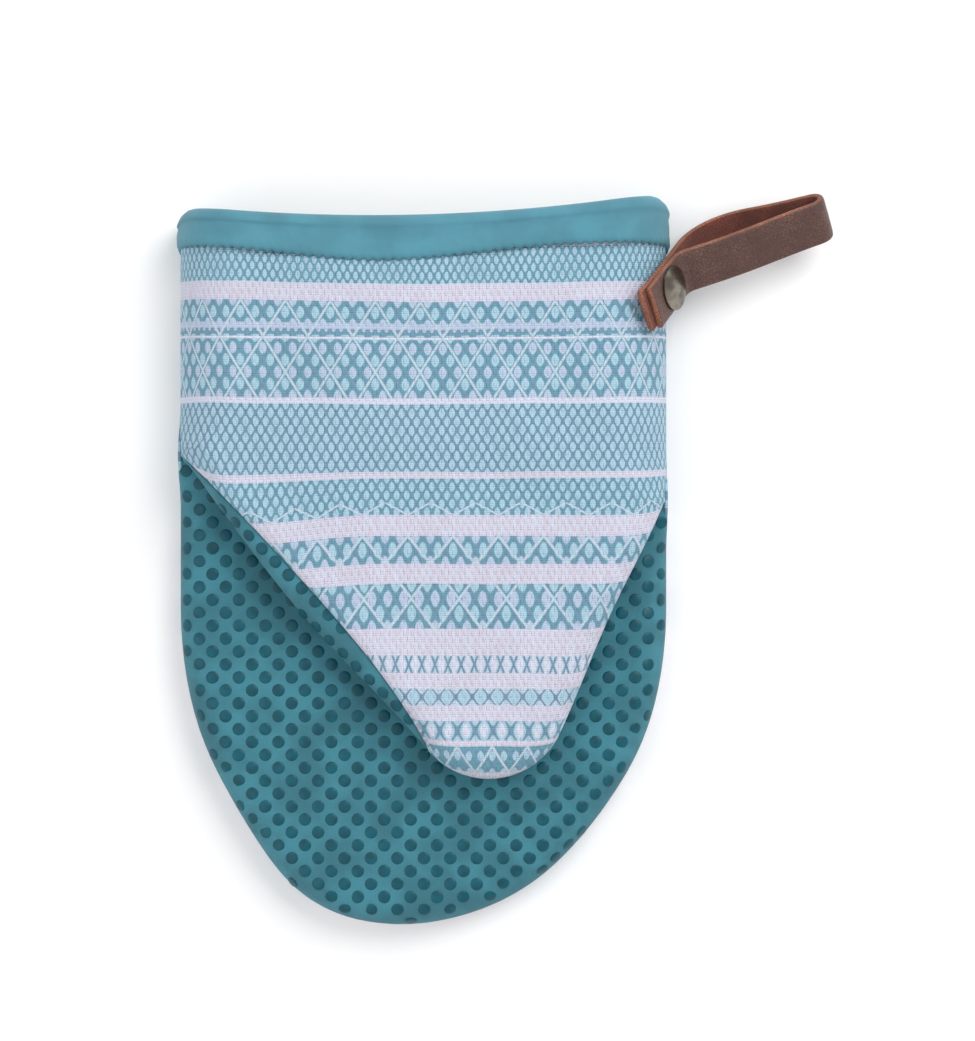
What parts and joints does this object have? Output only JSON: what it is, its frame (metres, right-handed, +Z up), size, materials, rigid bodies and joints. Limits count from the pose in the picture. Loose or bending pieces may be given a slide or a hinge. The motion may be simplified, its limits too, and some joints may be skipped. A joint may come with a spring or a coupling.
{
  "type": "oven mitt",
  "caption": "Short pinch-style oven mitt with a padded finger pocket, a tapered thumb pocket, dotted grip faces, a bound cuff and a riveted leather hanging loop.",
  "frame": {"origin": "centre of the mitt's width on the resting plane under its back, half way along its length", "axes": "+Z up out of the patterned front, +Y from the fingertips to the cuff opening, +X towards the side with the hanging loop"},
  "size_m": [0.1861, 0.208, 0.0345],
  "materials": {
    "jacquard": "woven jacquard, soft sheen",
    "grip_cloth": "plain twill, matt",
    "silicone": "glossy raised dots",
    "cuff_cloth": "plain cotton, matt",
    "lining": "plain cotton, matt",
    "wadding": "fluffy, matt",
    "thread": "sewing thread, slight sheen",
    "leather": "oiled full-grain leather, satin",
    "antique_brass": "antiqued, brushed edges"
  },
  "bodies": {
    "hand": {"back_cover": "jacquard", "back_wadding": "wadding", "back_lining": "lining", "finger_palm_grip": "grip_cloth", "finger_palm_wadding": "wadding", "finger_palm_lining": "lining", "hand_front_cover": "jacquard", "hand_front_wadding": "wadding", "hand_front_lining": "lining", "flex_front_cover": "jacquard", "flex_front_wadding": "wadding", "flex_front_lining": "lining", "cuff_binding": "cuff_cloth", "rivet_cap": "antique_brass", "rivet_post": "antique_brass"},
    "thumb": {"thumb_front_cover": "jacquard", "thumb_front_wadding": "wadding", "thumb_front_lining": "lining", "thumb_palm_grip": "grip_cloth", "thumb_palm_wadding": "wadding", "thumb_palm_lining": "lining"},
    "strap": {"leather_strap": "leather"}
  },
  "joints": [
    {"name": "thumb_open", "type": "hinge", "parent": "hand", "child": "thumb", "pos_m": [0.0008, 0.0246, 0.0153], "axis": [-0.9957, 0.0924, 0], "range_deg": [0, 60], "deforming": ["flex_front_cover", "flex_front_wadding", "flex_front_lining"]},
    {"name": "strap_swivel", "type": "hinge", "parent": "hand", "child": "strap", "pos_m": [0.06656, 0.0776, 0.02134], "axis": [0.848, 0, 0.5299], "range_deg": [-25, 45]}
  ]
}
